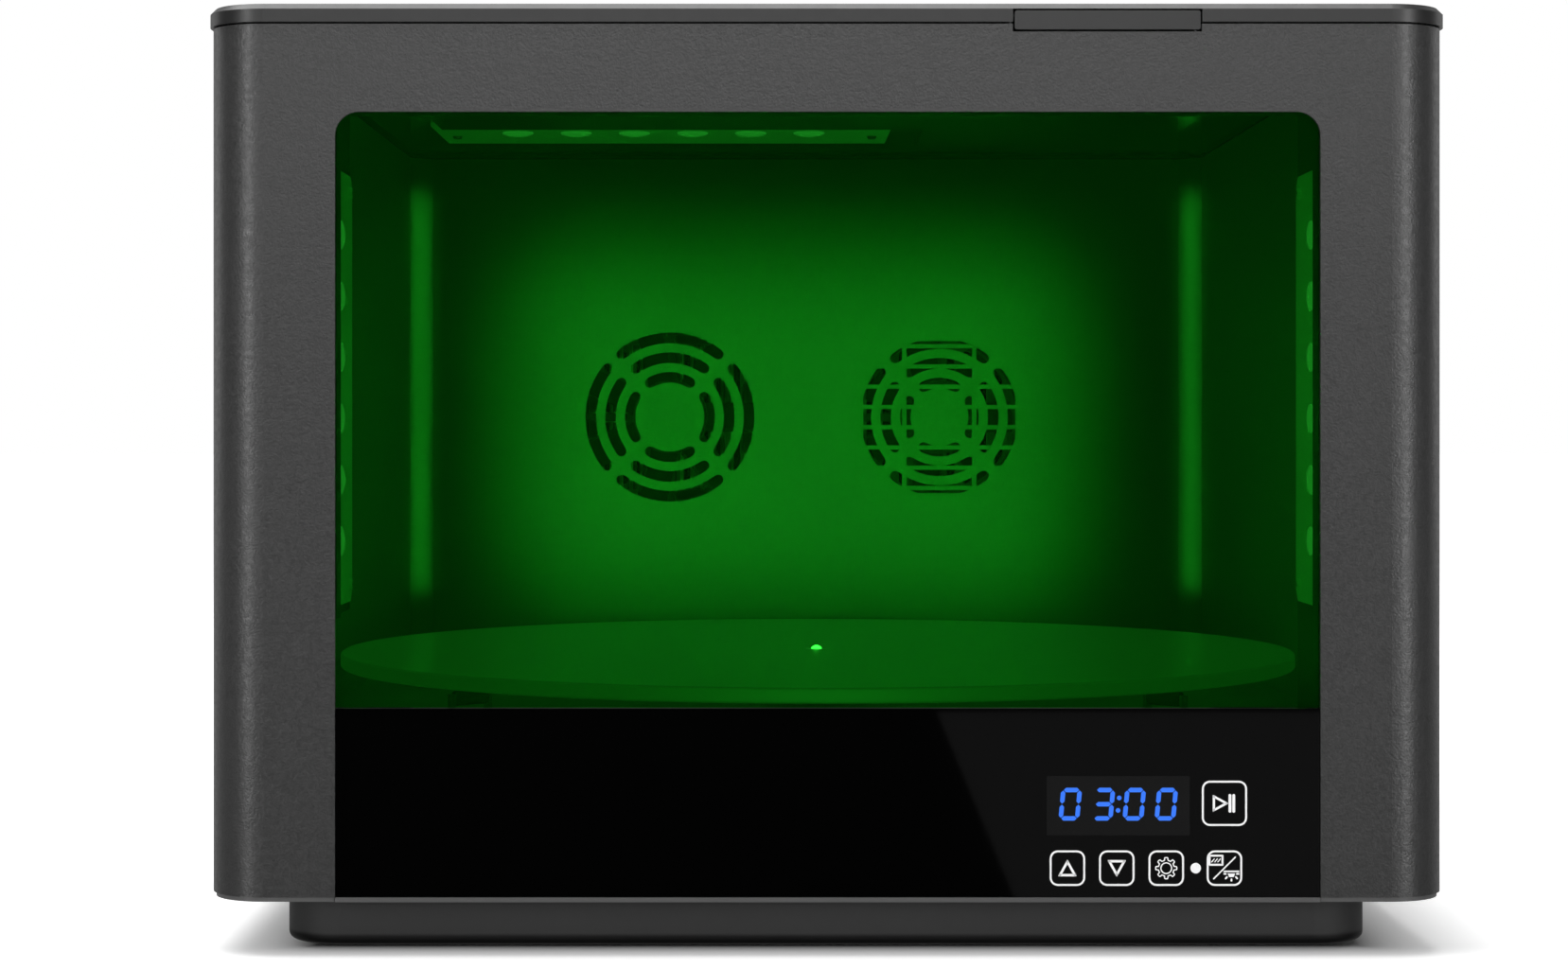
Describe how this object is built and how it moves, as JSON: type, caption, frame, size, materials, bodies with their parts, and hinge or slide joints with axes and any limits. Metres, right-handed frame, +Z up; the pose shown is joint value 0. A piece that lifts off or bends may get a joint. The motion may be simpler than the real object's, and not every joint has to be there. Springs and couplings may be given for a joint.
{
  "type": "dental lab light curing unit",
  "caption": "Bench light curing unit: dark steel box with rear-hinged lid, green window, touch panel, lamp boards, fans and driven turntable.",
  "frame": {"origin": "centre of the footprint box, on the surface that the feet stand on", "axes": "+X to the unit's right seen from the front, +Y to the rear, +Z up"},
  "size_m": [0.4196, 0.5134, 0.3193],
  "materials": {
    "shell_paint": "fine sand texture, satin",
    "lid_paint": "smooth satin",
    "base_paint": "matt",
    "lip_paint": "satin",
    "window_tint": "polished, green",
    "control_glass": "polished, black",
    "frame_dark": "satin",
    "liner_bright": "bright sheet",
    "cover_dark": "gloss",
    "lamp_board": "solder mask, satin",
    "lens_clear": "clear, domed",
    "seal_rubber": "soft",
    "foot_rubber": "matt",
    "black_plastic": "moulded",
    "plain_steel": "satin",
    "board_green": "solder mask",
    "display_block": "gloss",
    "sensor_brass": "satin",
    "status_white": "lit",
    "disc_gloss": "mirror gloss",
    "pin_white": "gloss",
    "rocker_black": "gloss"
  },
  "bodies": {
    "housing": {"outer_shell": "shell_paint", "rear_panel": "shell_paint", "bottom_plate": "lip_paint", "base_pan": "base_paint", "rubber_feet": "foot_rubber", "front_lip_trim": "lip_paint", "front_window": "window_tint", "control_glass": "control_glass", "glass_carrier": "black_plastic", "front_rail": "frame_dark", "header_rail": "frame_dark", "front_post_left": "frame_dark", "front_post_right": "frame_dark", "chamber_liner": "liner_bright", "chamber_floor": "liner_bright", "light_seal": "seal_rubber", "led_board_left": "lamp_board", "led_board_right": "lamp_board", "side_led_lenses": "lens_clear", "side_board_screws": "lamp_board", "fan_frame_left": "black_plastic", "fan_frame_right": "black_plastic", "vent_guard": "liner_bright", "heater_block": "plain_steel", "turntable_motor": "plain_steel", "roller_brackets": "liner_bright", "roller_axles": "plain_steel", "control_board": "board_green", "display_module": "display_block", "touch_sensors": "sensor_brass", "status_lamp": "status_white", "power_supply": "plain_steel", "power_inlet": "black_plastic", "switch_frame": "black_plastic", "shell_hinge_left": "plain_steel", "shell_hinge_right": "plain_steel", "hinge_pins": "plain_steel", "rear_screws": "plain_steel", "lid_sensor": "black_plastic"},
    "lid": {"lid_cover": "lid_paint", "lid_liner": "cover_dark", "ceiling_cover": "cover_dark", "led_board_top": "lamp_board", "top_led_lenses": "lens_clear", "top_board_screws": "plain_steel", "lid_pull_tab": "lid_paint", "lid_hinge_left": "plain_steel", "lid_hinge_right": "plain_steel", "lid_magnet": "plain_steel"},
    "turntable": {"turntable_disc": "disc_gloss", "turntable_hub": "black_plastic", "drive_shaft": "pin_white"},
    "roller_front_left": {"roller_front_left": "foot_rubber"},
    "roller_front_right": {"roller_front_right": "foot_rubber"},
    "roller_rear_left": {"roller_rear_left": "foot_rubber"},
    "roller_rear_right": {"roller_rear_right": "foot_rubber"},
    "fan_rotor_left": {"fan_rotor_left": "black_plastic"},
    "fan_rotor_right": {"fan_rotor_right": "black_plastic"},
    "power_rocker": {"power_rocker": "rocker_black"}
  },
  "joints": [
    {"name": "lid_hinge", "type": "hinge", "parent": "housing", "child": "lid", "pos_m": [0, 0.25375, 0.3118], "axis": [-1, 0, 0], "range_deg": [0, 85]},
    {"name": "turntable_spin", "type": "hinge", "parent": "housing", "child": "turntable", "pos_m": [0, -0.0592, 0.0842], "axis": [0, 0, 1], "continuous": true},
    {"name": "roller_front_left_spin", "type": "hinge", "parent": "housing", "child": "roller_front_left", "pos_m": [-0.12613, -0.18621, 0.0812], "axis": [-0.7046, -0.7096, 0], "continuous": true},
    {"name": "roller_front_right_spin", "type": "hinge", "parent": "housing", "child": "roller_front_right", "pos_m": [0.12162, -0.19054, 0.0812], "axis": [0.6794, -0.7337, 0], "continuous": true},
    {"name": "roller_rear_left_spin", "type": "hinge", "parent": "housing", "child": "roller_rear_left", "pos_m": [-0.12613, 0.06781, 0.0812], "axis": [-0.7046, 0.7096, 0], "continuous": true},
    {"name": "roller_rear_right_spin", "type": "hinge", "parent": "housing", "child": "roller_rear_right", "pos_m": [0.12162, 0.07214, 0.0812], "axis": [0.6794, 0.7337, 0], "continuous": true},
    {"name": "fan_left_spin", "type": "hinge", "parent": "housing", "child": "fan_rotor_left", "pos_m": [-0.066, 0.2195, 0.1828], "axis": [0, 1, 0], "continuous": true},
    {"name": "fan_right_spin", "type": "hinge", "parent": "housing", "child": "fan_rotor_right", "pos_m": [0.065, 0.2215, 0.1828], "axis": [0, 1, 0], "continuous": true},
    {"name": "power_rocker_tilt", "type": "hinge", "parent": "housing", "child": "power_rocker", "pos_m": [-0.072, 0.2468, 0.05815], "axis": [-1, 0, 0], "range_deg": [0, 16]}
  ],
  "couplings": [
    {"joint": "roller_front_left_spin", "follows": "turntable_spin", "ratio": -66.296},
    {"joint": "roller_front_right_spin", "follows": "turntable_spin", "ratio": -66.296},
    {"joint": "roller_rear_left_spin", "follows": "turntable_spin", "ratio": -66.296},
    {"joint": "roller_rear_right_spin", "follows": "turntable_spin", "ratio": -66.296}
  ]
}
